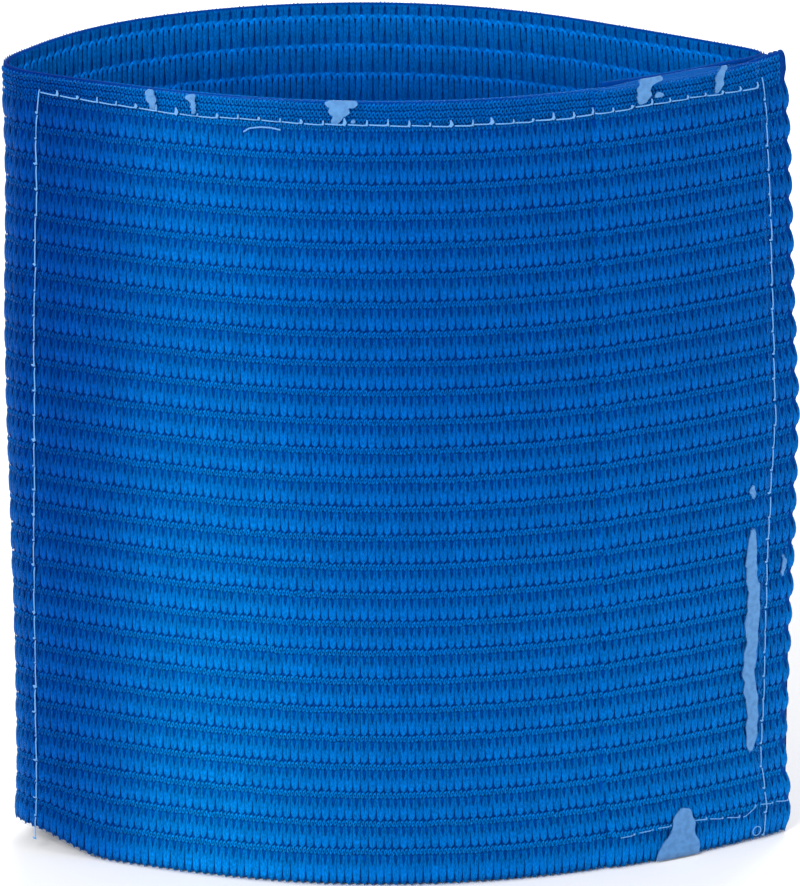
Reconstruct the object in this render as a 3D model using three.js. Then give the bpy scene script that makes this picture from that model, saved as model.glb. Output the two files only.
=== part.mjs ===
// A wide elastic armband with a clear film pocket sewn over its front.
// One strip of ribbed knitted elastic is bent into a tube that stands on its lower edge. Its inner end lies
// under the right of the front, where the outer end laps over it. The film lies on the outside of the front.
// Millimetres, +Z up, the front faces -Y, origin at the middle of the base of the bounding box.
import * as THREE from "three";

// Elastic strip
const GROOVE_COUNT = 27;
const RIB_PITCH = 5.06;
const BELOW_FIRST_GROOVE = 1.0;
const ABOVE_LAST_GROOVE = 4.0;
const BAND_HEIGHT = BELOW_FIRST_GROOVE + (GROOVE_COUNT - 1) * RIB_PITCH + ABOVE_LAST_GROOVE;
const WALL = 1.5;
const RIB_RELIEF = 0.5;
const RIB_SHOULDERS = [0.28, 0.72];
const INNER_FACE_ROWS = 6;
const STEPS_PER_STATION = 2;

// Clear film
const FILM_THICKNESS = 0.35;
const FILM_GAP = 0.3;
const FILM_LEFT_X = -62.6;
const FILM_RIGHT_X = 62.9;
const FILM_BOTTOM = 0.6;

// The strip's middle line seen from above: the lapped inner end, the back from the right corner to the left
// fold, and the front from left to right.
const PLAN = [
  { at: "inner end", x: 33.3, y: -14.0 },
  { at: "lap", x: 41.0, y: -11.2 },
  { at: "lap", x: 48.0, y: -7.9 },
  { at: "lap", x: 55.5, y: -3.7 },
  { at: "right corner, front side", x: 60.9, y: -0.5 },
  { at: "right corner, tip", x: 61.8, y: 0.9 },
  { at: "right corner, back side", x: 60.9, y: 2.3 },
  { at: "back", x: 50.0, y: 9.6 },
  { at: "back", x: 39.0, y: 16.2 },
  { at: "back", x: 27.4, y: 23.1 },
  { at: "back", x: 14.5, y: 28.2 },
  { at: "back", x: 0.0, y: 31.0 },
  { at: "back", x: -15.2, y: 31.1 },
  { at: "back", x: -29.0, y: 28.8 },
  { at: "back", x: -42.0, y: 24.0 },
  { at: "back", x: -52.0, y: 17.9 },
  { at: "left fold, back side", x: -59.8, y: 9.4 },
  { at: "left fold, back side", x: -63.2, y: 4.6 },
  { at: "left fold, tip", x: -64.1, y: 1.2 },
  { at: "left fold, front side", x: -62.6, y: -1.8 },
  { at: "front", x: -58.6, y: -4.7 },
  { at: "front", x: -49.8, y: -9.2 },
  { at: "front", x: -37.5, y: -14.6 },
  { at: "front", x: -25.3, y: -18.8 },
  { at: "front", x: -10.0, y: -21.9 },
  { at: "front", x: 6.0, y: -22.3 },
  { at: "front", x: 21.0, y: -20.3 },
  { at: "front", x: 35.0, y: -16.3 },
  { at: "front", x: 48.9, y: -10.3 },
  { at: "right stitch line", x: 58.5, y: -4.9 },
  { at: "outer end", x: 65.2, y: -0.6 },
];

// How far out the left and right edges stand at each height, as a share of the plan above
const WIDTHS = [
  { z: 0, left: 0.996, right: 1.0 },
  { z: 6, left: 0.992, right: 1.008 },
  { z: 14, left: 0.989, right: 0.992 },
  { z: 30, left: 0.989, right: 0.997 },
  { z: 46, left: 0.993, right: 1.005 },
  { z: 75, left: 1.003, right: 1.014 },
  { z: 95, left: 1.005, right: 0.998 },
  { z: 118, left: 0.997, right: 0.985 },
  { z: 128, left: 1.0, right: 0.978 },
  { z: BAND_HEIGHT, left: 1.006, right: 0.967 },
];

// The lower edge curls up towards the left fold
const CURL = { rise: 4.4, outerX: -64.0, innerX: -49.0, height: 16 };

// How far the film's upper edge stands above the elastic's, across the front
const FILM_RISE = [
  { x: -28, rise: 0.1 },
  { x: -11, rise: 0.6 },
  { x: 8, rise: 0.6 },
  { x: 30, rise: 0.2 },
  { x: 41, rise: 1.5 },
  { x: 56, rise: 1.6 },
  { x: 63, rise: 1.0 },
];

// A column of a table at a place between its rows, in straight lines.
function readTable(rows, key, place, column) {
  const last = rows.length - 1;
  if (place <= rows[0][key]) return rows[0][column];
  if (place >= rows[last][key]) return rows[last][column];
  const next = rows.findIndex((row) => row[key] > place);
  const [low, high] = [rows[next - 1], rows[next]];
  return THREE.MathUtils.mapLinear(place, low[key], high[key], low[column], high[column]);
}

// A smooth curve whose steps are shared out evenly between its stations, so that tight bends get more of them.
class StationCurve extends THREE.CatmullRomCurve3 {
  constructor(points) {
    super(points, false, "centripetal");
  }
  getPointAt(share, target) {
    return this.getPoint(share, target);
  }
  getTangentAt(share, target) {
    return this.getTangent(share, target);
  }
}

const planCurve = new StationCurve(PLAN.map(({ x, y }) => new THREE.Vector3(x, y, 0)));
const planSteps = STEPS_PER_STATION * (PLAN.length - 1);

// The share of the plan curve at which its front reaches a given x.
function shareOfFrontAt(x) {
  let low = PLAN.findIndex(({ at }) => at === "left fold, tip") / (PLAN.length - 1);
  let high = 1;
  for (let halving = 0; halving < 40; halving += 1) {
    const middle = (low + high) / 2;
    if (planCurve.getPoint(middle).x < x) low = middle;
    else high = middle;
  }
  return (low + high) / 2;
}

// A point at a distance outside the plan curve.
function outside(share, distance) {
  const along = planCurve.getTangent(share);
  return planCurve.getPoint(share).add(new THREE.Vector3(along.y, -along.x, 0).multiplyScalar(distance));
}

// Sweeps an upright section, given as heights and distances out of the tube, along a curve in plan.
function sweep(section, curve, steps) {
  const shape = new THREE.Shape(section.map(([height, out]) => new THREE.Vector2(-height, -out)));
  return new THREE.ExtrudeGeometry(shape, { steps, extrudePath: curve, bevelEnabled: false });
}

// Moves every corner of a geometry by a function that changes the point it is given.
function reshape(geometry, change) {
  const corners = geometry.getAttribute("position");
  const point = new THREE.Vector3();
  for (let i = 0; i < corners.count; i += 1) {
    point.fromBufferAttribute(corners, i);
    change(point);
    corners.setXYZ(i, point.x, point.y, point.z);
  }
  return geometry;
}

// Narrows or widens the tube with height, and curls its lower left corner up.
function setTube(point) {
  const side = point.x < 0 ? "left" : "right";
  const curlAcross = 1 - THREE.MathUtils.smoothstep(point.x, CURL.outerX, CURL.innerX);
  const curlUp = 1 - THREE.MathUtils.smoothstep(point.z, 0, CURL.height);
  point.x *= readTable(WIDTHS, "z", point.z, side);
  point.z += CURL.rise * curlAcross * curlUp;
}

function ribbedSection() {
  const crest = WALL / 2 + RIB_RELIEF / 2;
  const groove = WALL / 2 - RIB_RELIEF / 2;
  const outerFace = [[0, groove]];
  for (let row = 0; row < GROOVE_COUNT; row += 1) {
    const height = BELOW_FIRST_GROOVE + row * RIB_PITCH;
    const ribAbove = row < GROOVE_COUNT - 1 ? RIB_PITCH : ABOVE_LAST_GROOVE;
    outerFace.push([height, groove]);
    RIB_SHOULDERS.forEach((share) => outerFace.push([height + share * ribAbove, crest]));
  }
  outerFace.push([BAND_HEIGHT, groove]);
  const innerFace = Array.from({ length: INNER_FACE_ROWS + 1 }, (_, row) => [
    BAND_HEIGHT * (1 - row / INNER_FACE_ROWS),
    -WALL / 2,
  ]);
  return [...outerFace, ...innerFace];
}

function elasticBand() {
  const material = new THREE.MeshStandardMaterial({ color: 0x0a62b4, roughness: 0.85, metalness: 0 });
  const mesh = new THREE.Mesh(reshape(sweep(ribbedSection(), planCurve, planSteps), setTube), material);
  mesh.name = "elastic_band";
  return mesh;
}

function windowFilm() {
  const distance = (WALL + RIB_RELIEF + FILM_THICKNESS) / 2 + FILM_GAP;
  const [from, to] = [shareOfFrontAt(FILM_LEFT_X), shareOfFrontAt(FILM_RIGHT_X)];
  const shares = Array.from({ length: planSteps }, (_, step) => step / planSteps);
  const inner = shares.filter((share) => share > from && share < to);
  const stations = [from, ...inner, to].map((share) => outside(share, distance));
  const half = FILM_THICKNESS / 2;
  const heights = [FILM_BOTTOM, ...WIDTHS.slice(1).map(({ z }) => z)];
  const section = [...heights.map((z) => [z, half]), ...heights.toReversed().map((z) => [z, -half])];
  const geometry = reshape(sweep(section, new StationCurve(stations), stations.length - 1), (point) => {
    const isUpperEdge = point.z > BAND_HEIGHT - ABOVE_LAST_GROOVE / 2;
    const rise = isUpperEdge ? readTable(FILM_RISE, "x", point.x, "rise") : 0;
    setTube(point);
    point.z += rise;
  });
  const material = new THREE.MeshStandardMaterial({
    color: 0xcfe2f5,
    roughness: 0.12,
    metalness: 0,
    transparent: true,
    opacity: 0.3,
  });
  const mesh = new THREE.Mesh(geometry, material);
  mesh.name = "window_film";
  return mesh;
}

const armband = new THREE.Group();
armband.name = "armband";
armband.add(elasticBand(), windowFilm());

// Puts the origin at the middle of the base of the bounding box.
const bounds = new THREE.Box3().setFromObject(armband);
const middle = bounds.getCenter(new THREE.Vector3());
armband.position.set(-middle.x, -middle.y, -bounds.min.z);

export default armband;
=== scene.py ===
"""Looks of a wide elastic armband: its ribbed knit, the clear film over its front, the seams and loose ends.

Lengths are in millimetres while a piece is flat. A flat piece lies as the strip does before it is bent:
x runs along the strip from its inner end, y is the height above its lower edge, and z points out of the tube
from the strip's middle line. bend() turns flat places into places on the armband, in metres.
"""
import math

import bpy
import numpy as np
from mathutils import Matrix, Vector


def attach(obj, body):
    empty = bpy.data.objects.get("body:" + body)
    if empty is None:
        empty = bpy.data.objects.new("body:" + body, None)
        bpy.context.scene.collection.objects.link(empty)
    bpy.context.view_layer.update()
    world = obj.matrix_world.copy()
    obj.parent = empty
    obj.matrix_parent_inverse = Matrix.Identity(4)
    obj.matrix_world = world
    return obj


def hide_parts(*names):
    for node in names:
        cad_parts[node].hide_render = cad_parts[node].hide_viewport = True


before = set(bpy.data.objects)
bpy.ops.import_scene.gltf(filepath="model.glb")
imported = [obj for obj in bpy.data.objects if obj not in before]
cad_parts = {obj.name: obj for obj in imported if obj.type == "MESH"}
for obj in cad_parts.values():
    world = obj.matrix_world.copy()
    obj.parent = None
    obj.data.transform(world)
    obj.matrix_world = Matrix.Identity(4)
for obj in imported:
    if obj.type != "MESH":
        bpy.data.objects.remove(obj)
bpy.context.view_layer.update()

bl_info = {
    "name": "Elastic Armband",
    "version": (1, 0, 0),
    "blender": (4, 5, 0),
    "location": "3D View > Sidebar > Armband",
    "description": "Builds a ribbed elastic armband with a clear pocket",
    "category": "Add Mesh",
}

MM = 0.001

# Plan of the strip's middle line (x, y), from its inner end round the back and the left fold to its outer end
LAP_PLAN = [(33.3, -14.0), (41.0, -11.2), (48.0, -7.9), (55.5, -3.7)]
CORNER_PLAN = [(60.9, -0.5), (61.8, 0.9), (60.9, 2.3)]
BACK_PLAN = [
    (50.0, 9.6),
    (39.0, 16.2),
    (27.4, 23.1),
    (14.5, 28.2),
    (0.0, 31.0),
    (-15.2, 31.1),
    (-29.0, 28.8),
    (-42.0, 24.0),
    (-52.0, 17.9),
]
FOLD_PLAN = [(-59.8, 9.4), (-63.2, 4.6), (-64.1, 1.2), (-62.6, -1.8)]
FRONT_PLAN = [
    (-58.6, -4.7),
    (-49.8, -9.2),
    (-37.5, -14.6),
    (-25.3, -18.8),
    (-10.0, -21.9),
    (6.0, -22.3),
    (21.0, -20.3),
    (35.0, -16.3),
    (48.9, -10.3),
    (58.5, -4.9),
    (65.2, -0.6),
]
PLAN_TO_FRAME = (-0.6, -4.152)
PLAN_STEP = 0.25

# Shares of the plan's half widths at each height
WIDTH_HEIGHTS = [0, 6, 14, 30, 46, 75, 95, 118, 128, 136.56]
LEFT_WIDTHS = [0.996, 0.992, 0.989, 0.989, 0.993, 1.003, 1.005, 0.997, 1.0, 1.006]
RIGHT_WIDTHS = [1.0, 1.008, 0.992, 0.997, 1.005, 1.014, 0.998, 0.985, 0.978, 0.967]
CURL_RISE, CURL_OUTER_X, CURL_INNER_X, CURL_HEIGHT = 3.9, -64.0, -49.0, 16.0

# Ribs and grooves
GROOVE_COUNT = 27
FIRST_GROOVE = 1.0
RIB_PITCH = 5.06
BAND_HEIGHT = 136.56

# The drawn elastic reaches a little higher than the CAD's
TOP_EDGE = 136.96

# The strip's outer end stands out in a scallop at each rib
SCALLOP_REACH, SCALLOP_OUT = 4.0, 0.55

# The upper corner of that end turns up
CORNER_RISE, CORNER_START, CORNER_LOW = 1.0, 305.0, 127.0

# Where the front layer steps over the lapped inner end: heights and places along the strip
LAP_STEP_HEIGHTS = [3, 30, 66, 136]
LAP_STEP_ALONGS = [282.1, 281.0, 279.8, 279.8]
LAP_STEP_OUT, LAP_CREASE_DEPTH, LAP_CREASE_WIDTH = 0.45, 0.4, 0.6
LAP_ROWS_RISE = 0.35

# The outer stitch: half of a long U from its foot up, as across, up, out and half the yarn's width
LONG_STITCH = [
    (0.00, 0.74, 0.66, 0.28),
    (0.17, 1.15, 0.74, 0.34),
    (0.22, 1.90, 0.76, 0.40),
    (0.31, 2.65, 0.70, 0.34),
    (0.44, 3.45, 0.54, 0.23),
    (0.49, 4.60, 0.28, 0.18),
]

# The lowest outer stitches are stretched down to where the yarn ends, just above the lower edge
LOWEST_STRETCHED = 4.0
LOWEST_YARN = 0.1

# The inner stitch: half of a long leaf from its tip down, given in the same way
LEAF_STITCH = [
    (0.00, 4.90, 0.90, 0.28),
    (0.39, 4.50, 0.86, 0.35),
    (0.51, 3.50, 0.76, 0.45),
    (0.52, 2.20, 0.70, 0.46),
    (0.60, 1.00, 0.60, 0.38),
    (0.63, -0.80, 0.42, 0.38),
]
LEAF_DROP = 1.5
YARN_DEPTH = 0.26

# Small loops of yarn: radius, stretch upwards, lean, and place in their column
LOOP_YARN, LOOP_PITCH = 0.14, 0.65
GROOVE_LOOP = {"radius": 0.2, "tall": 2.1, "lean": 0.55, "place": (-0.32, 0.02, 0.76)}
MARGIN_LOOP = {"radius": 0.24, "tall": 1.9, "lean": 0.3, "place": (-0.32, 0, 0.66)}
EDGE_LOOP = {"radius": 0.36, "tall": 0.85, "lean": 0.0, "place": (0, 0, 0.05)}
MARGIN_DEPTH, MARGIN_ROWS, MARGIN_PITCH = 3.3, 3, 1.27
EDGE_LOOP_HEIGHT, EDGE_LOOP_STRETCH = 0.5, 2.2

# Film: its extent along the strip, how far out it lies, and the height of its upper edge
FILM_START, FILM_END, FILM_BOTTOM = 181.2, 315.2, 0.4
FILM_OUT, FILM_THICKNESS = 1.35, 0.25
FILM_TOP_ALONGS = [181.2, 182.5, 206, 219, 236, 255, 272, 281, 288, 299, 305, 311, 314, 315.2]
FILM_TOP_HEIGHTS = [135.8, 136.6, 137.1, 137.1, 137.5, 137.4, 137.5, 137.5, 138.3, 138.5]
FILM_TOP_HEIGHTS += [138.1, 137.2, 136.6, 135.4]
FILM_TOP_BAND = 130.0

# Seams: the left and right ones as heights and places along the strip, the upper one the other way round
LEFT_SEAM_HEIGHTS = [0.7, 26, 49, 71, 98, 128, 134.3]
LEFT_SEAM_ALONGS = [183.4, 183.3, 183.6, 184.6, 185.1, 185.5, 186.6]
RIGHT_SEAM_HEIGHTS = [2.9, 25, 35, 50, 60, 71, 96, 113, 129, 134.2]
RIGHT_SEAM_ALONGS = [311.7, 311.8, 311.7, 311.4, 311.6, 312.0, 312.4, 312.4, 312.2, 311.8]
TOP_SEAM_ALONGS = [187, 197, 214, 223, 231, 247, 255, 264, 272, 281, 290, 299, 311]
TOP_SEAM_HEIGHTS = [134.1, 133.8, 133.4, 133.6, 133.4, 133.2, 133.0, 133.0, 132.9, 133.2, 133.6, 133.5, 132.8]
LAP_SEAM_ALONGS = [284.0, 290.4, 298.8, 307.4, 310.0, 316.5]
LAP_SEAM_HEIGHTS = [5.7, 6.2, 6.4, 5.0, 6.7, 5.9]
SEAM_DIP, SEAM_DIP_WIDTH = 0.35, 0.8

# Stitches of each seam: how many, their pitch, the gap between two, and the height of the knot's end
SEAM_STITCHES = {
    "left_seam": (31, 4.4, 0.4, 0.4),
    "right_seam": (33, 4.05, 0.5, 0.4),
    "upper_seam": (36, 3.45, 0.4, 0.85),
    "lap_stitches": (10, 3.3, 0.9, 0.3),
}
LAID_START, STANDING_START = 1.4, 1.8

# Loose ends of the thread
TAIL_PATH = [
    (221.8, 131.3, 1.1),
    (222.8, 132.0, 1.1),
    (224.6, 132.3, 1.1),
    (226.3, 132.3, 1.1),
    (227.9, 132.0, 1.1),
]
RING_RADIUS, RING_THREAD, RING_PLACE = 0.8, 0.09, (310.0, 2.0, 1.6)

# Painted glints on the film, pale spots that stand in for reflections of the lights: along, height, half
# width, half height, and lean along for each millimetre up
PAINTED_GLINTS = [
    (206.4, 135.9, 0.90, 1.3, 0.0),
    (206.5, 134.6, 0.60, 1.3, 0.0),
    (213.4, 136.4, 0.75, 0.8, 0.0),
    (213.5, 135.0, 0.45, 1.5, 0.0),
    (237.8, 137.0, 2.70, 0.9, 0.0),
    (237.4, 135.8, 1.70, 1.2, 0.1),
    (236.9, 134.6, 0.80, 1.6, 0.1),
    (239.5, 134.0, 0.40, 0.4, 0.0),
    (289.8, 137.9, 2.30, 0.8, 0.0),
    (288.9, 136.2, 1.30, 1.9, 0.1),
    (288.4, 134.8, 1.10, 1.0, 0.0),
    (291.4, 135.0, 0.90, 0.5, 0.3),
    (303.3, 136.0, 0.85, 2.6, 0.25),
    (308.3, 50.0, 0.95, 6.5, 0.0),
    (308.9, 40.0, 1.25, 8.0, 0.0),
    (308.7, 31.0, 1.10, 7.0, 0.0),
    (309.5, 22.5, 1.10, 6.5, 0.0),
    (307.9, 63.0, 0.60, 1.0, 0.0),
    (314.7, 48.4, 0.40, 2.2, 0.0),
    (294.8, 0.0, 4.00, 4.8, 0.1),
    (295.3, 4.5, 2.20, 4.6, 0.1),
]
GLINT_POWER = 2.6

# How much of the film is seen: its gloss, its haze where it stands free, and its rim
GLOSS_SHARE, FREE_HAZE, RIM_HAZE = 0.15, 0.26, 0.15

# Painted light and shade on the knit: across the front by x, by share of the band's height outside and
# inside, and one even shade for the back
FRONT_PAINTED_LIGHT = [
    (-63, 0.58),
    (-56, 0.58),
    (-49, 0.70),
    (-41, 0.93),
    (-33, 1.0),
    (-24, 0.97),
    (-14, 0.87),
    (0, 0.81),
    (20, 0.81),
    (37, 0.84),
    (48, 0.83),
    (57, 0.85),
    (65, 0.78),
]
HEIGHT_PAINTED_LIGHT = [(0.0, 1.08), (0.3, 1.0), (0.5, 0.92), (0.68, 0.84), (1.0, 0.84)]
INNER_PAINTED_SHADE = [(0.0, 0.6), (0.8, 0.66), (0.9, 0.8), (1.0, 1.0)]
BACK_PAINTED_SHADE = 0.85

# Where the painted shade darkens the knit its blue is deeper, because its green falls by this power of the
# shade
GREEN_FALL = 1.8

# Lights: name, place, size in metres and power in watts
LIGHTS = [
    ("key_light", (-0.75, -1.1, 1.0), 0.7, 22),
    ("fill_light", (1.3, -0.8, 0.6), 0.9, 8),
    ("back_light", (0.3, 1.2, 1.2), 0.9, 14),
]
WORLD_STRENGTH = 0.75
FLOOR_COLOUR = (0.86, 0.86, 0.86, 1.0)


def rounded(points, step):
    """A centripetal Catmull-Rom curve through the points, cut into even steps."""
    stations = np.array(points, float)
    ends = 2 * stations[0] - stations[1], 2 * stations[-1] - stations[-2]
    stations = np.vstack([ends[0], stations, ends[1]])
    pieces = []
    for a, b, c, d in zip(stations, stations[1:], stations[2:], stations[3:]):
        gaps = [math.sqrt(np.linalg.norm(q - p)) for p, q in ((a, b), (b, c), (c, d))]
        t0, t1, t2, t3 = 0.0, gaps[0], gaps[0] + gaps[1], sum(gaps)
        t = np.linspace(t1, t2, 60, endpoint=False)[:, None]
        ab = (t1 - t) / (t1 - t0) * a + (t - t0) / (t1 - t0) * b
        bc = (t2 - t) / (t2 - t1) * b + (t - t1) / (t2 - t1) * c
        cd = (t3 - t) / (t3 - t2) * c + (t - t2) / (t3 - t2) * d
        abc = (t2 - t) / (t2 - t0) * ab + (t - t0) / (t2 - t0) * bc
        bcd = (t3 - t) / (t3 - t1) * bc + (t - t1) / (t3 - t1) * cd
        pieces.append((t2 - t) / (t2 - t1) * abc + (t - t1) / (t2 - t1) * bcd)
    line = np.vstack([*pieces, stations[-2]])
    travelled = np.concatenate([[0], np.cumsum(np.linalg.norm(np.diff(line, axis=0), axis=1))])
    even = np.arange(0, travelled[-1], step)
    return np.stack([np.interp(even, travelled, line[:, k]) for k in (0, 1)], axis=1)


def averaged(line, spread):
    """The line smoothed with a bell of that many steps, its ends kept."""
    reach = int(3 * spread)
    bell = np.exp(-0.5 * (np.arange(-reach, reach + 1) / spread) ** 2)
    bell /= bell.sum()
    padded = np.vstack([2 * line[0] - line[reach:0:-1], line, 2 * line[-1] - line[-2 : -reach - 2 : -1]])
    return np.stack([np.convolve(padded[:, k], bell, "valid") for k in (0, 1)], axis=1)


class Strip:
    """The bent strip in plan: places, outward directions and lengths along its middle line."""

    def __init__(self):
        line = rounded([*LAP_PLAN, *CORNER_PLAN, *BACK_PLAN, *FOLD_PLAN, *FRONT_PLAN], PLAN_STEP)
        tips = [self.nearest(line, CORNER_PLAN[1]), self.nearest(line, FOLD_PLAN[2])]
        steps = np.arange(len(line))
        from_tip = np.min([abs(steps - tip) for tip in tips], axis=0) * PLAN_STEP
        calm = np.clip((from_tip - 5) / 12, 0, 1)[:, None]
        self.line = averaged(line, 2) * (1 - calm) + averaged(line, 22) * calm
        ahead = np.gradient(self.line, axis=0)
        ahead /= np.linalg.norm(ahead, axis=1)[:, None]
        self.outward = np.stack([ahead[:, 1], -ahead[:, 0]], axis=1)
        strides = np.linalg.norm(np.diff(self.line, axis=0), axis=1)
        self.along = np.concatenate([[0], np.cumsum(strides)])
        self.length = float(self.along[-1])
        self.corner, self.fold = (float(self.along[tip]) for tip in tips)
        front = self.along >= self.fold
        self.front_x, self.front_along = self.line[front, 0], self.along[front]

    @staticmethod
    def nearest(line, point):
        return int(np.linalg.norm(line - np.array(point), axis=1).argmin())

    def along_front(self, x):
        """How far along the strip the front reaches x."""
        return np.interp(x, self.front_x, self.front_along)

    def read(self, along):
        """Places and outward directions, going straight on past the outer end."""
        columns = (self.line[:, 0], self.line[:, 1], self.outward[:, 0], self.outward[:, 1])
        x, y, out_x, out_y = (np.interp(along, self.along, column) for column in columns)
        beyond = np.clip(along - self.length, 0, None)
        return x - out_y * beyond, y + out_x * beyond, out_x, out_y


STRIP = Strip()


def eased(value, low, high):
    """0 below low, 1 above high, and a smooth step between them."""
    share = np.clip((value - low) / (high - low), 0, 1)
    return share * share * (3 - 2 * share)


def rib_bulge(height):
    """1 in the middle of a rib, 0 in a groove."""
    return abs(np.sin(np.pi * (height - FIRST_GROOVE) / RIB_PITCH)) ** 0.8


def bend(flat):
    """Places on the armband, in metres, of flat places (along, height, out) in millimetres."""
    along, height, out = np.asarray(flat, float).T
    near_end = eased(along, STRIP.length - SCALLOP_REACH, STRIP.length)
    step = np.interp(height, LAP_STEP_HEIGHTS, LAP_STEP_ALONGS)
    out = out + LAP_STEP_OUT * eased(along, step - 0.3, step + 1.2)
    out = out - LAP_CREASE_DEPTH * np.exp(-(((along - step) / LAP_CREASE_WIDTH) ** 2))
    from_edges = np.clip(4 * height * (BAND_HEIGHT - height) / BAND_HEIGHT**2, 0, 1)
    rise = LAP_ROWS_RISE * eased(along, step - 0.5, step + 5) * from_edges
    along = along + SCALLOP_OUT * near_end * (rib_bulge(height) - 0.4)
    x, y, out_x, out_y = STRIP.read(along)
    x, y = x + out_x * out, y + out_y * out
    across = 1 - eased(x, CURL_OUTER_X, CURL_INNER_X)
    upward = 1 - eased(height, 0, CURL_HEIGHT)
    left = np.interp(height, WIDTH_HEIGHTS, LEFT_WIDTHS)
    right = np.interp(height, WIDTH_HEIGHTS, RIGHT_WIDTHS)
    x = x * np.where(x < 0, left, right)
    corner = CORNER_RISE * eased(along, CORNER_START, STRIP.length) * eased(height, CORNER_LOW, BAND_HEIGHT)
    z = height + CURL_RISE * across * upward + rise + corner
    return np.stack([x + PLAN_TO_FRAME[0], y + PLAN_TO_FRAME[1], z], axis=1) * MM


def places(obj):
    flat = np.empty(len(obj.data.vertices) * 3)
    obj.data.vertices.foreach_get("co", flat)
    return flat.reshape(-1, 3)


def set_places(obj, points):
    obj.data.vertices.foreach_set("co", np.asarray(points, float).ravel())
    obj.data.update()


def select_only(*objects):
    bpy.ops.object.select_all(action="DESELECT")
    for obj in objects:
        obj.select_set(True)
    bpy.context.view_layer.objects.active = objects[0]


def join(first, *others):
    select_only(first, *others)
    bpy.ops.object.join()
    return first


def modify(obj, kind, **settings):
    """Adds a modifier and applies it."""
    select_only(obj)
    bpy.ops.object.modifier_add(type=kind)
    modifier = obj.modifiers[-1]
    for name, value in settings.items():
        setattr(modifier, name, value)
    bpy.ops.object.modifier_apply(modifier=modifier.name)


def repeat(obj, count, offset):
    modify(
        obj,
        "ARRAY",
        count=count,
        use_relative_offset=False,
        use_constant_offset=True,
        constant_offset_displace=offset,
    )


def grid(name, rows, columns):
    """A flat grid of that many points, whose points are then set row by row."""
    bpy.ops.object.select_all(action="DESELECT")
    bpy.ops.mesh.primitive_grid_add(x_subdivisions=columns - 1, y_subdivisions=rows - 1)
    obj = bpy.context.object
    obj.name = obj.data.name = name
    return obj


def half_yarn(name, path, half_widths, half_depth, sides=3):
    """The outer half of a length of yarn along a path of (x, y, z)."""
    path = np.array(path, float)
    half_widths = np.broadcast_to(half_widths, len(path))
    ahead = np.gradient(path, axis=0)
    beside = np.stack([ahead[:, 1], -ahead[:, 0]], axis=1)
    beside /= np.linalg.norm(beside, axis=1)[:, None]
    obj = grid(name, len(path), sides + 1)
    turns = np.radians(np.linspace(-82, 82, sides + 1))
    points = np.repeat(path[:, None, :], sides + 1, axis=1)
    points[:, :, :2] += beside[:, None, :] * (half_widths[:, None] * np.sin(turns))[:, :, None]
    points[:, :, 2] += half_depth * np.cos(turns)
    set_places(obj, points.reshape(-1, 3))
    return obj


def mirrored_yarn(name, half, half_depth, sides):
    """Yarn along a stitch. Its half is given from the middle, as across, up, out and half width."""
    middle, *legs = half
    legs = legs[::-1]
    path = [*[(-x, y, z) for x, y, z, _ in legs], middle[:3], *[(x, y, z) for x, y, z, _ in legs[::-1]]]
    widths = [w for *_, w in legs]
    return half_yarn(name, path, [*widths, middle[3], *widths[::-1]], half_depth, sides)


def finish_flat(obj):
    """Keeps the flat places as the piece's UV map, and bends the piece into place."""
    flat = places(obj)
    mesh = obj.data
    corner_points = np.empty(len(mesh.loops), int)
    mesh.loops.foreach_get("vertex_index", corner_points)
    for layer in list(mesh.uv_layers):
        mesh.uv_layers.remove(layer)
    layer = mesh.uv_layers.new(name="strip")
    layer.data.foreach_set("uv", flat[corner_points, :2].ravel())
    set_places(obj, bend(flat))
    select_only(obj)
    bpy.ops.object.shade_smooth()


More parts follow.
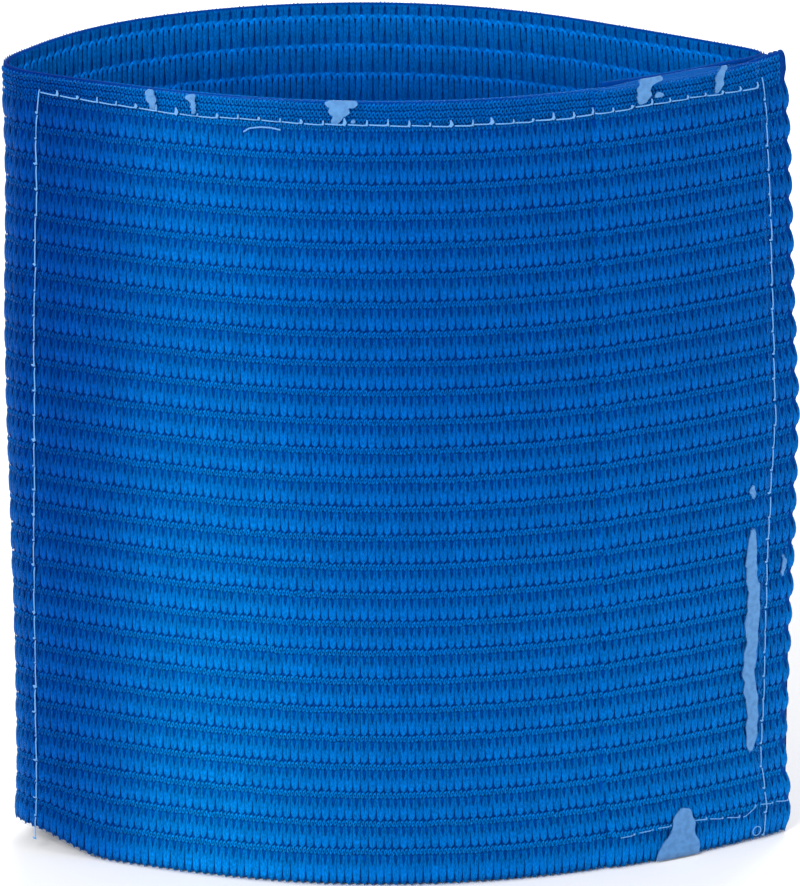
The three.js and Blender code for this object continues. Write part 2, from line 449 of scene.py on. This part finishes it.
class Nodes:
    """Short ways to build one material's node tree."""

    def __init__(self, name):
        self.material = bpy.data.materials.new(name)
        self.material.use_nodes = True
        self.tree = self.material.node_tree
        self.shader = self.tree.nodes["Principled BSDF"]

    def add(self, kind, settings=None, **inputs):
        node = self.tree.nodes.new(kind)
        for name, value in (settings or {}).items():
            setattr(node, name, value)
        for name, value in inputs.items():
            self.feed(node.inputs[int(name[1:]) if name[1:].isdigit() else name.replace("_", " ")], value)
        return node

    def feed(self, socket, value):
        if isinstance(value, bpy.types.NodeSocket):
            self.tree.links.new(value, socket)
        else:
            socket.default_value = value

    def math(self, operation, first, second=0.0):
        return self.add("ShaderNodeMath", {"operation": operation}, _0=first, _1=second).outputs[0]

    def ramp(self, value, *stops, green_fall=1.0):
        node = self.add("ShaderNodeValToRGB", Fac=value)
        elements = node.color_ramp.elements
        while len(elements) < len(stops):
            elements.new(1.0)
        for element, (place, shade) in zip(elements, stops):
            element.position = place
            element.color = (shade, shade**green_fall, shade, 1.0)
        return node.outputs["Color"]

    def blend(self, kind, share, first, second):
        node = self.add("ShaderNodeMix", {"data_type": "RGBA", "blend_type": kind})
        self.feed(node.inputs[0], share)
        self.feed(node.inputs[6], first)
        self.feed(node.inputs[7], second)
        return node.outputs[2]

    def shaded(self, colour, *shades):
        """The colour times all the shades."""
        for shade in shades:
            colour = self.blend("MULTIPLY", 1.0, colour, shade)
        return colour

    def attribute(self, name):
        return self.add("ShaderNodeAttribute", {"attribute_name": name}).outputs["Fac"]

    def flat_place(self):
        """Where a point lies on the flat strip, in millimetres: along, height."""
        uv = self.add("ShaderNodeUVMap", {"uv_map": "strip"})
        split = self.add("ShaderNodeSeparateXYZ", _0=uv.outputs[0])
        return uv.outputs[0], split.outputs[0], split.outputs[1]

    def painted_band_light(self, along, height, painted_height_light):
        """The knit's painted light and shade: a slow change across the front and with height; the back is
        even across.
        """
        stops = [(STRIP.along_front(x) / STRIP.length, shade) for x, shade in FRONT_PAINTED_LIGHT]
        fold = STRIP.fold / STRIP.length
        stops = [(0.0, BACK_PAINTED_SHADE), (fold - 0.02, BACK_PAINTED_SHADE), *stops]
        across = self.ramp(self.math("DIVIDE", along, STRIP.length), *stops, green_fall=GREEN_FALL)
        upward = self.ramp(self.math("DIVIDE", height, BAND_HEIGHT), *painted_height_light, green_fall=GREEN_FALL)
        return self.blend("MULTIPLY", 1.0, across, upward)

    def set(self, **constants):
        for name, value in constants.items():
            self.feed(self.shader.inputs[name.replace("_", " ")], value)


def yarn_material(name, colour, wale, rib_painted_lights, painted_height_light=HEIGHT_PAINTED_LIGHT):
    """Spun elastic yarn: fine fibres, each stitch a little lighter or darker, painted light and shade over
    the rib, and the band's painted light and shade.
    """
    nodes = Nodes(name)
    place, along, height = nodes.flat_place()
    rib = nodes.math("DIVIDE", nodes.math("SUBTRACT", height, FIRST_GROOVE), RIB_PITCH)
    wale_number = nodes.math("FLOOR", nodes.math("DIVIDE", along, wale))
    cell = nodes.add("ShaderNodeCombineXYZ", _0=wale_number, _1=nodes.math("FLOOR", rib))
    random = nodes.add("ShaderNodeTexWhiteNoise", {"noise_dimensions": "3D"}, Vector=cell.outputs[0])
    stitch_shade = nodes.ramp(random.outputs["Value"], (0.0, 0.84), (1.0, 1.0))
    # Painted light and shade over each rib, by height within the rib
    rib_painted_light = nodes.ramp(nodes.math("FRACT", rib), *rib_painted_lights)
    stretched = nodes.add("ShaderNodeVectorMath", {"operation": "MULTIPLY"}, _0=place, _1=(5.0, 1.7, 1.0))
    fibres = nodes.add("ShaderNodeTexNoise", Vector=stretched.outputs[0], Scale=1.0, Detail=1.0)
    fibre_shade = nodes.ramp(fibres.outputs[0], (0.34, 0.66), (0.66, 1.2))
    # The band's painted light and shade
    painted_band_light = nodes.painted_band_light(along, height, painted_height_light)
    base = nodes.shaded((*colour, 1.0), stitch_shade, rib_painted_light, fibre_shade, painted_band_light)
    nodes.feed(nodes.shader.inputs["Base Color"], base)
    bump = nodes.add("ShaderNodeBump", Strength=0.5, Distance=0.00015, Height=fibres.outputs[0])
    nodes.feed(nodes.shader.inputs["Normal"], bump.outputs[0])
    nodes.set(Roughness=0.6, Sheen_Weight=0.06, Sheen_Roughness=0.4)
    nodes.set(Sheen_Tint=(0.0, 0.4, 1.0, 1.0), Specular_Tint=(0.0, 0.3, 1.0, 1.0))
    nodes.set(Specular_IOR_Level=0.15)
    return nodes.material


def ground_material(colour):
    """The ground that shows between the stitches: darker than the yarn, partly its own colour and partly
    painted shade in the gaps, with the band's painted light and shade.
    """
    nodes = Nodes("knit_ground")
    place, along, height = nodes.flat_place()
    weave = nodes.add("ShaderNodeTexNoise", Vector=place, Scale=1.5, Detail=1.0)
    shade = nodes.ramp(weave.outputs[0], (0.3, 0.75), (0.7, 1.0))
    base = nodes.shaded((*colour, 1.0), shade, nodes.painted_band_light(along, height, HEIGHT_PAINTED_LIGHT))
    nodes.feed(nodes.shader.inputs["Base Color"], base)
    bump = nodes.add("ShaderNodeBump", Strength=0.4, Distance=0.0001, Height=weave.outputs[0])
    nodes.feed(nodes.shader.inputs["Normal"], bump.outputs[0])
    nodes.set(Roughness=0.85, Specular_IOR_Level=0.1, Specular_Tint=(0.0, 0.3, 1.0, 1.0))
    return nodes.material


def thread_material(colour):
    """Pale sewing thread with the slant of its twisted plies."""
    nodes = Nodes("sewing_thread")
    place, _, _ = nodes.flat_place()
    slant = {"bands_direction": "DIAGONAL"}
    plies = nodes.add("ShaderNodeTexWave", slant, Vector=place, Scale=1.3, Distortion=0.6)
    shade = nodes.ramp(plies.outputs["Color"], (0.0, 0.78), (1.0, 1.0))
    nodes.feed(nodes.shader.inputs["Base Color"], nodes.shaded((*colour, 1.0), shade))
    bump = nodes.add("ShaderNodeBump", Strength=0.5, Distance=0.00005, Height=plies.outputs["Color"])
    nodes.feed(nodes.shader.inputs["Normal"], bump.outputs[0])
    nodes.set(Roughness=0.45, Sheen_Weight=0.1, Sheen_Roughness=0.4)
    return nodes.material


def film_material(colour, glint_colour):
    """Clear soft film: glossy, a little hazy where it stands free, and with pale painted glints in spots,
    painted reflections of the lights.
    """
    nodes = Nodes("clear_film")
    place, _, _ = nodes.flat_place()
    smear = nodes.add("ShaderNodeTexNoise", Vector=place, Scale=0.9, Detail=1.0)
    # Painted glints: where the glint mask is high the film takes the glint colour
    glinting = nodes.ramp(nodes.attribute("glint_mask"), (0.5, 0.0), (0.54, 1.0))
    base = nodes.blend("MIX", glinting, (*colour, 1.0), (*glint_colour, 1.0))
    nodes.feed(nodes.shader.inputs["Base Color"], base)
    nodes.set(Roughness=0.15, Specular_Tint=(0.3, 0.65, 1.0, 1.0))
    density = nodes.ramp(smear.outputs[0], (0.35, 0.62), (0.6, 0.8))
    glint_share = nodes.math("MULTIPLY", glinting, density)
    gloss = nodes.add("ShaderNodeFresnel", IOR=1.3)
    gloss_share = nodes.math("MULTIPLY", gloss.outputs[0], GLOSS_SHARE)
    share = nodes.math("MAXIMUM", nodes.math("MAXIMUM", gloss_share, nodes.attribute("haze")), glint_share)
    clear = nodes.add("ShaderNodeBsdfTransparent", Color=(0.96, 0.98, 1.0, 1.0))
    mixed = nodes.add("ShaderNodeMixShader", _0=share, _1=clear.outputs[0], _2=nodes.shader.outputs[0])
    nodes.feed(nodes.tree.nodes["Material Output"].inputs["Surface"], mixed.outputs[0])
    return nodes.material


def dress(obj, material):
    obj.data.materials.clear()
    obj.data.materials.append(material)
    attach(obj, "root")


def length_setting(name, description, default, lowest, highest):
    """One length of the armband, in millimetres."""
    return bpy.props.FloatProperty(
        name=name, description=f"{description}, in mm", default=default, min=lowest, max=highest
    )


def colour_setting(name, description, default):
    """One colour of the armband."""
    return bpy.props.FloatVectorProperty(
        name=name, description=description, subtype="COLOR", default=default, min=0, max=1
    )


class ArmbandSettings(bpy.types.PropertyGroup):
    """Sizes and colours of the armband."""

    wale: length_setting("Stitch width", "Width of one column of outer stitches", 1.3, 0.8, 3)
    inner_wale: length_setting("Inner stitch width", "Width of one column of inner stitches", 2, 1, 4)
    thread: length_setting("Thread", "Half the width of the sewing thread", 0.11, 0.05, 0.5)
    yarn_colour: colour_setting("Yarn", "Colour of the elastic yarn", (0, 0.19, 0.57))
    # The loops' colour is the yarn's colour painted lighter: a painted highlight on the loops
    lit_loop_colour: colour_setting("Loops", "Colour of the small loops", (0, 0.24, 0.66))
    # The ground is darker than the yarn: partly its own colour and partly painted shade in the gaps between
    # the stitches
    ground_colour: colour_setting("Ground", "Colour between the stitches", (0, 0.075, 0.36))
    inner_colour: colour_setting("Inside", "Colour of the inner face", (0, 0.22, 0.72))
    thread_colour: colour_setting("Thread colour", "Colour of the sewing thread", (0.1, 0.3, 0.63))
    film_colour: colour_setting("Film", "Tint of the film's gloss", (0, 0.13, 0.5))
    # Colour of the painted glints, pale spots that stand in for reflections of the lights on the film
    glint_colour: colour_setting("Clouds", "Colour of the film where it is clouded", (0.095, 0.25, 0.52))


class ARMBAND_OT_ground(bpy.types.Operator):
    """Bend the knit's ground: a ribbed strip with a lap under its outer end"""

    bl_idname = "armband.ground"
    bl_label = "Knit ground"

    def execute(self, context):
        settings = context.scene.armband
        outer = [(0.3, 0.1), (0.6, 0.35)]
        rib = ((0.0, 0.38), (0.3, 0.5), (0.65, 0.42))
        for number in range(GROOVE_COUNT):
            groove = FIRST_GROOVE + number * RIB_PITCH
            outer += [(groove + share * RIB_PITCH, out) for share, out in rib]
        outer = [(height, out) for height, out in outer if height < TOP_EDGE - 0.6]
        outer += [(TOP_EDGE - 0.4, 0.35), (TOP_EDGE, 0.1)]
        inner = [(height, -0.5) for height, _ in outer[2:-2:3]]
        ring = [*outer, (TOP_EDGE, -0.2), *reversed(inner), (0.3, -0.2)]
        across = np.arange(0, STRIP.length + 0.01, 1.3)
        obj = grid("elastic_band", len(ring), len(across))
        set_places(obj, [(x, height, out) for height, out in ring for x in across])
        self.close(obj, len(ring), len(across))
        finish_flat(obj)
        dress(obj, ground_material(settings.ground_colour))
        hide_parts("elastic_band")
        return {"FINISHED"}

    def close(self, obj, rows, columns):
        """Joins the last row of the ring to the first, and fills the two ends."""
        select_only(obj)
        bpy.ops.object.mode_set(mode="EDIT")
        bpy.ops.mesh.select_all(action="DESELECT")
        bpy.ops.object.mode_set(mode="OBJECT")
        for edge in obj.data.edges:
            row_a, row_b = (v // columns for v in edge.vertices)
            edge.select = row_a == row_b and row_a in (0, rows - 1)
        bpy.ops.object.mode_set(mode="EDIT")
        bpy.ops.mesh.select_mode(type="EDGE")
        bpy.ops.mesh.bridge_edge_loops()
        bpy.ops.mesh.select_all(action="DESELECT")
        bpy.ops.mesh.select_non_manifold()
        bpy.ops.mesh.edge_face_add()
        bpy.ops.mesh.select_all(action="SELECT")
        bpy.ops.mesh.normals_make_consistent(inside=False)
        bpy.ops.object.mode_set(mode="OBJECT")


def small_loop(name, around, sides, radius, tall, lean, place):
    """A small leaning ring of yarn with that many segments and sides, stretched upwards."""
    bpy.ops.object.select_all(action="DESELECT")
    bpy.ops.mesh.primitive_torus_add(
        major_segments=around, minor_segments=sides, major_radius=radius, minor_radius=LOOP_YARN
    )
    obj = bpy.context.object
    obj.name = obj.data.name = name
    points = places(obj)
    points[:, 0] += lean * points[:, 1]
    points[:, 1] *= tall
    set_places(obj, points + place)
    return obj


def roughen(obj, wale, seed):
    """Shifts each stitch a little, so that no two are quite alike."""
    points = places(obj)
    column = np.floor(points[:, 0] / wale).astype(int)
    rib = np.floor((points[:, 1] - FIRST_GROOVE + 0.9) / RIB_PITCH).astype(int)
    random = np.random.default_rng(seed).normal(size=(400, 40, 3)).clip(-2, 2)
    points += random[column % 400, rib % 40] * (0.03, 0.06, 0.03)
    set_places(obj, points)


class ARMBAND_OT_outer_knit(bpy.types.Operator):
    """Knit the outer face: long stitches over each rib and small loops in each groove"""

    bl_idname = "armband.outer_knit"
    bl_label = "Outer knit"

    def execute(self, context):
        settings = context.scene.armband
        # Painted highlight on the lower ends of the long stitches and painted shade up towards the slots
        # between them
        rib_painted_lights = [(0.0, 0.9), (0.16, 1.06), (0.34, 1.0), (0.6, 0.78), (1.0, 0.7)]
        even = [(0.0, 1.0), (1.0, 1.0)]
        stitch_yarn = yarn_material("outer_yarn", settings.yarn_colour, settings.wale, rib_painted_lights)
        # The loops get the lighter loop colour, a painted highlight, and no painted light over the rib
        loop_yarn = yarn_material("loop_yarn", settings.lit_loop_colour, settings.wale / 2, even)
        simpler = [LONG_STITCH[i] for i in (0, 1, 3, 4, 5)]
        runs = [
            ("front", STRIP.fold, STRIP.length + 0.4, LONG_STITCH, 3, 5),
            ("back", STRIP.corner, STRIP.fold, simpler, 2, 4),
        ]
        for side, start, end, half, sides, around in runs:
            first = math.ceil(start / settings.wale)
            count = int(end / settings.wale) - first
            stitches = mirrored_yarn(f"{side}_stitches", half, YARN_DEPTH, sides)
            self.spread(stitches, settings, first, count, FIRST_GROOVE, GROOVE_COUNT - 1, RIB_PITCH)
            self.reach_edge(stitches)
            self.finish(stitches, settings, stitch_yarn, 5)
            loops = small_loop(f"{side}_loops", around, 3, **GROOVE_LOOP)
            repeat(loops, 2, (LOOP_PITCH, 0, 0))
            lowest = FIRST_GROOVE + RIB_PITCH
            self.spread(loops, settings, first, count - 1, lowest, GROOVE_COUNT - 1, RIB_PITCH)
            self.finish(loops, settings, loop_yarn, 9)
            margin = small_loop(f"{side}_margin", around, 3, **MARGIN_LOOP)
            repeat(margin, 2, (LOOP_PITCH, 0, 0))
            lowest = TOP_EDGE - MARGIN_DEPTH
            self.spread(margin, settings, first, count - 1, lowest, MARGIN_ROWS, MARGIN_PITCH)
            self.finish(margin, settings, loop_yarn, 13)
        edge = small_loop("edge_loops", 6, 4, **EDGE_LOOP)
        points = places(edge)
        points[:, 2] *= EDGE_LOOP_STRETCH
        set_places(edge, points)
        count = int(STRIP.length / settings.wale)
        self.spread(edge, settings, 0, count, EDGE_LOOP_HEIGHT, 1, 0)
        self.finish(edge, settings, loop_yarn, 17)
        return {"FINISHED"}

    def reach_edge(self, obj):
        """Stretches the lowest stitches down, so that their feet make the lower edge's small scallops."""
        points = places(obj)
        foot = FIRST_GROOVE + LONG_STITCH[0][1] - LONG_STITCH[0][3]
        stretch = (LOWEST_STRETCHED - LOWEST_YARN) / (LOWEST_STRETCHED - foot)
        low = points[:, 1] < LOWEST_STRETCHED
        points[low, 1] = LOWEST_STRETCHED - (LOWEST_STRETCHED - points[low, 1]) * stretch
        set_places(obj, points)

    def spread(self, obj, settings, first, count, height, rows, row_pitch):
        points = places(obj)
        points += ((first + 0.5) * settings.wale, height, 0)
        set_places(obj, points)
        repeat(obj, count, (settings.wale, 0, 0))
        repeat(obj, rows, (0, row_pitch, 0))

    def finish(self, obj, settings, material, seed):
        roughen(obj, settings.wale, seed)
        finish_flat(obj)
        dress(obj, material)


class ARMBAND_OT_inner_knit(bpy.types.Operator):
    """Knit the inner face: tall leaf-shaped loops in rows"""

    bl_idname = "armband.inner_knit"
    bl_label = "Inner knit"

    def execute(self, context):
        settings = context.scene.armband
        wale = settings.inner_wale
        # Painted highlight just under each leaf's tip and painted shade just above it, in the pockets at the
        # shoulders
        shades = [(0.0, 0.8), (0.25, 0.86), (0.36, 1.15), (0.48, 1.15), (0.53, 0.72), (1.0, 0.8)]
        material = yarn_material("inner_yarn", settings.inner_colour, wale, shades, INNER_PAINTED_SHADE)
        obj = self.columns("inner_stitches", wale, 0, int(STRIP.along_front(LAP_PLAN[0][0] - 1) / wale))
        join(obj, self.columns("past_corner", wale, STRIP.length - 3 * wale, 3))
        repeat(obj, GROOVE_COUNT + 1, (0, RIB_PITCH, 0))
        self.trim(obj)
        roughen(obj, wale, 21)
        points = places(obj)
        points[:, 1] = points[:, 1].clip(LOWEST_YARN, TOP_EDGE - 0.1)
        set_places(obj, points)
        finish_flat(obj)
        dress(obj, material)
        return {"FINISHED"}

    def columns(self, name, wale, start, count):
        """The lowest row of stitches, from a place along the strip."""
        obj = mirrored_yarn(name, LEAF_STITCH, YARN_DEPTH, 2)
        points = places(obj)
        points[:, 0] = start + wale / 2 - points[:, 0]
        points[:, 1] -= LEAF_DROP
        points[:, 2] *= -1
        set_places(obj, points)
        repeat(obj, count, (wale, 0, 0))
        return obj

    def trim(self, obj):
        """Cuts off the parts of the stitches that would stand above or below the strip."""
        select_only(obj)
        bpy.ops.object.mode_set(mode="EDIT")
        bpy.ops.mesh.select_all(action="DESELECT")
        bpy.ops.object.mode_set(mode="OBJECT")
        heights = places(obj)[:, 1]
        obj.data.vertices.foreach_set("select", (heights > TOP_EDGE + 1.2) | (heights < -1.2))
        bpy.ops.object.mode_set(mode="EDIT")
        bpy.ops.mesh.select_mode(type="VERT")
        bpy.ops.mesh.delete(type="VERT")
        bpy.ops.object.mode_set(mode="OBJECT")


def stepped(start, end, coarse, zones):
    """Places from start to end, coarse apart, and closer inside each zone of (low, high, step)."""
    steps = [start]
    while steps[-1] < end:
        near = [step for low, high, step in zones if low <= steps[-1] + step <= high]
        steps.append(steps[-1] + min([coarse, *near]))
    steps[-1] = end
    return np.array(steps)


class ARMBAND_OT_window_film(bpy.types.Operator):
    """Lay the clear film over the front, open at its lower edge"""

    bl_idname = "armband.window_film"
    bl_label = "Window film"

    def execute(self, context):
        settings = context.scene.armband
        seams = [(min(line) - 1.5, max(line) + 1.5, 0.5) for line in (LEFT_SEAM_ALONGS, RIGHT_SEAM_ALONGS)]
        wide = [self.zone(along, width + abs(lean * tall), width) for along, _, width, tall, lean in PAINTED_GLINTS]
        high = [self.zone(height, tall, tall) for _, height, _, tall, _ in PAINTED_GLINTS]
        across = stepped(FILM_START, FILM_END, 2.4, [*seams, *wide])
        heights = stepped(FILM_BOTTOM, BAND_HEIGHT, 3.2, high)
        obj = grid("window_film", len(heights), len(across))
        flat = np.array([(x, y, FILM_OUT) for y in heights for x in across])
        top = np.interp(flat[:, 0], FILM_TOP_ALONGS, FILM_TOP_HEIGHTS)
        over = np.clip(flat[:, 1] - FILM_TOP_BAND, 0, None) / (BAND_HEIGHT - FILM_TOP_BAND)
        flat[:, 1] += over * (top - BAND_HEIGHT)
        flat[:, 2] -= SEAM_DIP * np.exp(-((self.from_seams(flat) / SEAM_DIP_WIDTH) ** 2))
        flat[:, 2] += 0.3 * eased(flat[:, 1], top - 2.5, top) * eased(flat[:, 0], 280, 290)
        set_places(obj, flat)
        # The glint mask marks the painted glints, painted reflections of the lights
        self.paint(obj, "glint_mask", self.painted_glints(flat))
        self.paint(obj, "haze", self.haze(flat, top))
        finish_flat(obj)
        modify(obj, "SOLIDIFY", thickness=FILM_THICKNESS * MM, offset=0.0)
        dress(obj, film_material(settings.film_colour, settings.glint_colour))
        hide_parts("window_film")
        return {"FINISHED"}

    def zone(self, middle, reach, size):
        """Where the film's grid is closer, for a painted glint of that half size."""
        return middle - reach - 0.8, middle + reach + 0.8, max(size / 4, 0.3)

    def from_seams(self, flat):
        """How far each flat place is from the nearest seam."""
        left = abs(flat[:, 0] - np.interp(flat[:, 1], LEFT_SEAM_HEIGHTS, LEFT_SEAM_ALONGS))
        right = abs(flat[:, 0] - np.interp(flat[:, 1], RIGHT_SEAM_HEIGHTS, RIGHT_SEAM_ALONGS))
        upper = abs(flat[:, 1] - np.interp(flat[:, 0], TOP_SEAM_ALONGS, TOP_SEAM_HEIGHTS))
        return np.minimum(np.minimum(left, right), upper)

    def painted_glints(self, flat):
        """Above a half inside the painted glints, below it outside, by the distance to their edge."""
        x = flat[:, 0] + 0.14 * np.sin(1.9 * flat[:, 1]) + 0.1 * np.sin(4.3 * flat[:, 1] + flat[:, 0])
        y = flat[:, 1] + 0.1 * np.sin(3.1 * flat[:, 0])
        inside = np.full(len(flat), -1.0)
        for along, height, half_width, half_height, lean in PAINTED_GLINTS:
            across = abs(x - along - lean * (y - height)) / half_width
            upward = abs(y - height) / half_height
            reach = (across**GLINT_POWER + upward**GLINT_POWER) ** (1 / GLINT_POWER)
            inside = np.maximum(inside, (1 - reach) * min(half_width, half_height))
        return 0.5 + 0.5 * inside.clip(-1, 1)

    def haze(self, flat, top):
        """The film is hazier above the elastic's edge, at the right, and along its own edges."""
        free = eased(flat[:, 1], TOP_EDGE - 0.2, TOP_EDGE + 0.4) * eased(flat[:, 0], 262, 284)
        free = free * (1 - eased(flat[:, 0], 302, 308))
        rim = RIM_HAZE * eased(flat[:, 1], top - 0.2, top)
        return np.maximum(FREE_HAZE * free, rim)

    def paint(self, obj, name, values):
        layer = obj.data.attributes.new(name, "FLOAT", "POINT")
        layer.data.foreach_set("value", values)


class ARMBAND_OT_seams(bpy.types.Operator):
    """Sew the film to the front, stitch the lap, and leave the thread's loose ends"""

    bl_idname = "armband.seams"
    bl_label = "Seams"

    def execute(self, context):
        settings = context.scene.armband
        thread = settings.thread
        left = self.run("left_seam", thread)
        self.stand(left, LEFT_SEAM_HEIGHTS, LEFT_SEAM_ALONGS)
        right = self.run("right_seam", thread)
        self.stand(right, RIGHT_SEAM_HEIGHTS, RIGHT_SEAM_ALONGS)
        upper = self.run("upper_seam", thread)
        self.lay(upper, TOP_SEAM_ALONGS, TOP_SEAM_HEIGHTS)
        lap = self.run("lap_stitches", 0.8 * thread)
        self.lay(lap, LAP_SEAM_ALONGS, LAP_SEAM_HEIGHTS)
        tail = half_yarn("thread_tail", TAIL_PATH, 0.14, 0.12)
        bpy.ops.object.select_all(action="DESELECT")
        bpy.ops.mesh.primitive_torus_add(
            major_segments=16,
            minor_segments=6,
            major_radius=RING_RADIUS,
            minor_radius=RING_THREAD,
            location=RING_PLACE,
        )
        ring = bpy.context.object
        ring.name = ring.data.name = "thread_ring"
        bpy.ops.object.transform_apply(location=True)
        material = thread_material(settings.thread_colour)
        for obj in (left, right, upper, lap, tail, ring):
            finish_flat(obj)
            dress(obj, material)
        return {"FINISHED"}

    def run(self, name, thread):
        """Stitches in a row along x, each with the end of a knot that stands up at its far end."""
        count, pitch, gap, knot = SEAM_STITCHES[name]
        half = (pitch - gap) / 2
        low, high = 0.05, 0.2
        dash = [(-half, 0, low), (-0.6 * half, 0.03, high), (0.6 * half, -0.03, high), (half, 0, low)]
        obj = half_yarn(name, dash, thread, thread)
        tick = [(half - 0.1, -0.1, low), (half + 0.05, 0.4 * knot, high), (half, knot, low)]
        join(obj, half_yarn(name, tick, [2.2 * thread, 1.7 * thread, thread], 1.5 * thread))
        repeat(obj, count, (pitch, 0, 0))
        points = places(obj)
        number = np.floor((points[:, 0] + pitch / 2) / pitch).astype(int).clip(0, count - 1)
        random = np.random.default_rng(count).normal(size=(count, 2)).clip(-2, 2)
        points[:, :2] += random[number] * (0.12, 0.08)
        from_middle = points[:, 0] - number * pitch
        tall = np.random.default_rng(count + 50).uniform(0.5, 1.4, count)
        points[:, 1] *= np.where(from_middle > 0.6 * half, tall[number], 1.0)
        set_places(obj, points)
        return obj

    def lay(self, obj, alongs, heights):
        """Lays a row of stitches along a line that is given from left to right."""
        points = places(obj)
        points[:, 0] += alongs[0] + LAID_START
        points[:, 1] += np.interp(points[:, 0], alongs, heights)
        points[:, 2] += FILM_OUT - SEAM_DIP + FILM_THICKNESS / 2
        set_places(obj, points)

    def stand(self, obj, heights, alongs):
        """Turns a row of stitches upright, to run down a line that is given from the bottom up."""
        points = places(obj)
        across = -points[:, 1]
        points[:, 1] = heights[-1] - points[:, 0] - STANDING_START
        points[:, 0] = across + np.interp(points[:, 1], heights, alongs)
        points[:, 2] += FILM_OUT - SEAM_DIP + FILM_THICKNESS / 2
        set_places(obj, points)


class ARMBAND_OT_stage(bpy.types.Operator):
    """Add the pale floor, the studio lights and the camera"""

    bl_idname = "armband.stage"
    bl_label = "Stage"

    def execute(self, context):
        bpy.ops.object.select_all(action="DESELECT")
        bpy.ops.mesh.primitive_plane_add(size=8, location=(0, 0, 0))
        floor = bpy.context.object
        floor.name = "floor"
        nodes = Nodes("floor_paper")
        nodes.set(Roughness=0.9)
        nodes.feed(nodes.shader.inputs["Base Color"], FLOOR_COLOUR)
        floor.data.materials.append(nodes.material)
        for light in LIGHTS:
            self.light(*light)
        world = bpy.data.worlds.new("studio")
        world.use_nodes = True
        world.node_tree.nodes["Background"].inputs["Color"].default_value = (1, 1, 1, 1)
        world.node_tree.nodes["Background"].inputs["Strength"].default_value = WORLD_STRENGTH
        context.scene.world = world
        context.scene.view_settings.view_transform = "Standard"
        self.camera(context)
        return {"FINISHED"}

    def light(self, name, place, size, power):
        bpy.ops.object.light_add(type="AREA", location=place)
        light = bpy.context.object
        light.name = name
        light.data.size = size
        light.data.energy = power
        light.rotation_euler = (Vector((0, 0, 0.07)) - Vector(place)).to_track_quat("-Z", "Y").to_euler()

    def camera(self, context):
        elevation, yaw, distance = math.radians(20), math.radians(2.6), 1.7
        pixels_per_mm, picture_height = 6.02, 886
        target = Vector(((PLAN_TO_FRAME[0] + 0.2) * MM, PLAN_TO_FRAME[1] * MM, 0.07003))
        level = math.cos(elevation)
        view = Vector((math.sin(yaw) * level, math.cos(yaw) * level, -math.sin(elevation)))
        bpy.ops.object.camera_add(location=target - view * distance)
        camera = bpy.context.object
        camera.rotation_euler = view.to_track_quat("-Z", "Y").to_euler()
        camera.data.sensor_width = 36
        camera.data.lens = camera.data.sensor_width * pixels_per_mm * distance / MM / picture_height
        camera.data.clip_end = 50
        context.scene.camera = camera


class ARMBAND_PT_pieces(bpy.types.Panel):
    """Lists the armband's sizes, colours and pieces"""

    bl_idname = "ARMBAND_PT_pieces"
    bl_label = "Armband"
    bl_space_type = "VIEW_3D"
    bl_region_type = "UI"
    bl_category = "Armband"

    def draw(self, context):
        settings = context.scene.armband
        for name in settings.__annotations__:
            self.layout.prop(settings, name)
        for operator in OPERATORS:
            self.layout.operator(operator.bl_idname)


OPERATORS = (
    ARMBAND_OT_ground,
    ARMBAND_OT_outer_knit,
    ARMBAND_OT_inner_knit,
    ARMBAND_OT_window_film,
    ARMBAND_OT_seams,
    ARMBAND_OT_stage,
)
CLASSES = (ArmbandSettings, *OPERATORS, ARMBAND_PT_pieces)


def register():
    for cls in CLASSES:
        bpy.utils.register_class(cls)
    bpy.types.Scene.armband = bpy.props.PointerProperty(type=ArmbandSettings)


def unregister():
    del bpy.types.Scene.armband
    for cls in reversed(CLASSES):
        bpy.utils.unregister_class(cls)


def main():
    register()
    bpy.ops.armband.ground()
    bpy.ops.armband.outer_knit()
    bpy.ops.armband.inner_knit()
    bpy.ops.armband.window_film()
    bpy.ops.armband.seams()
    bpy.ops.armband.stage()


if __name__ == "__main__":
    main()
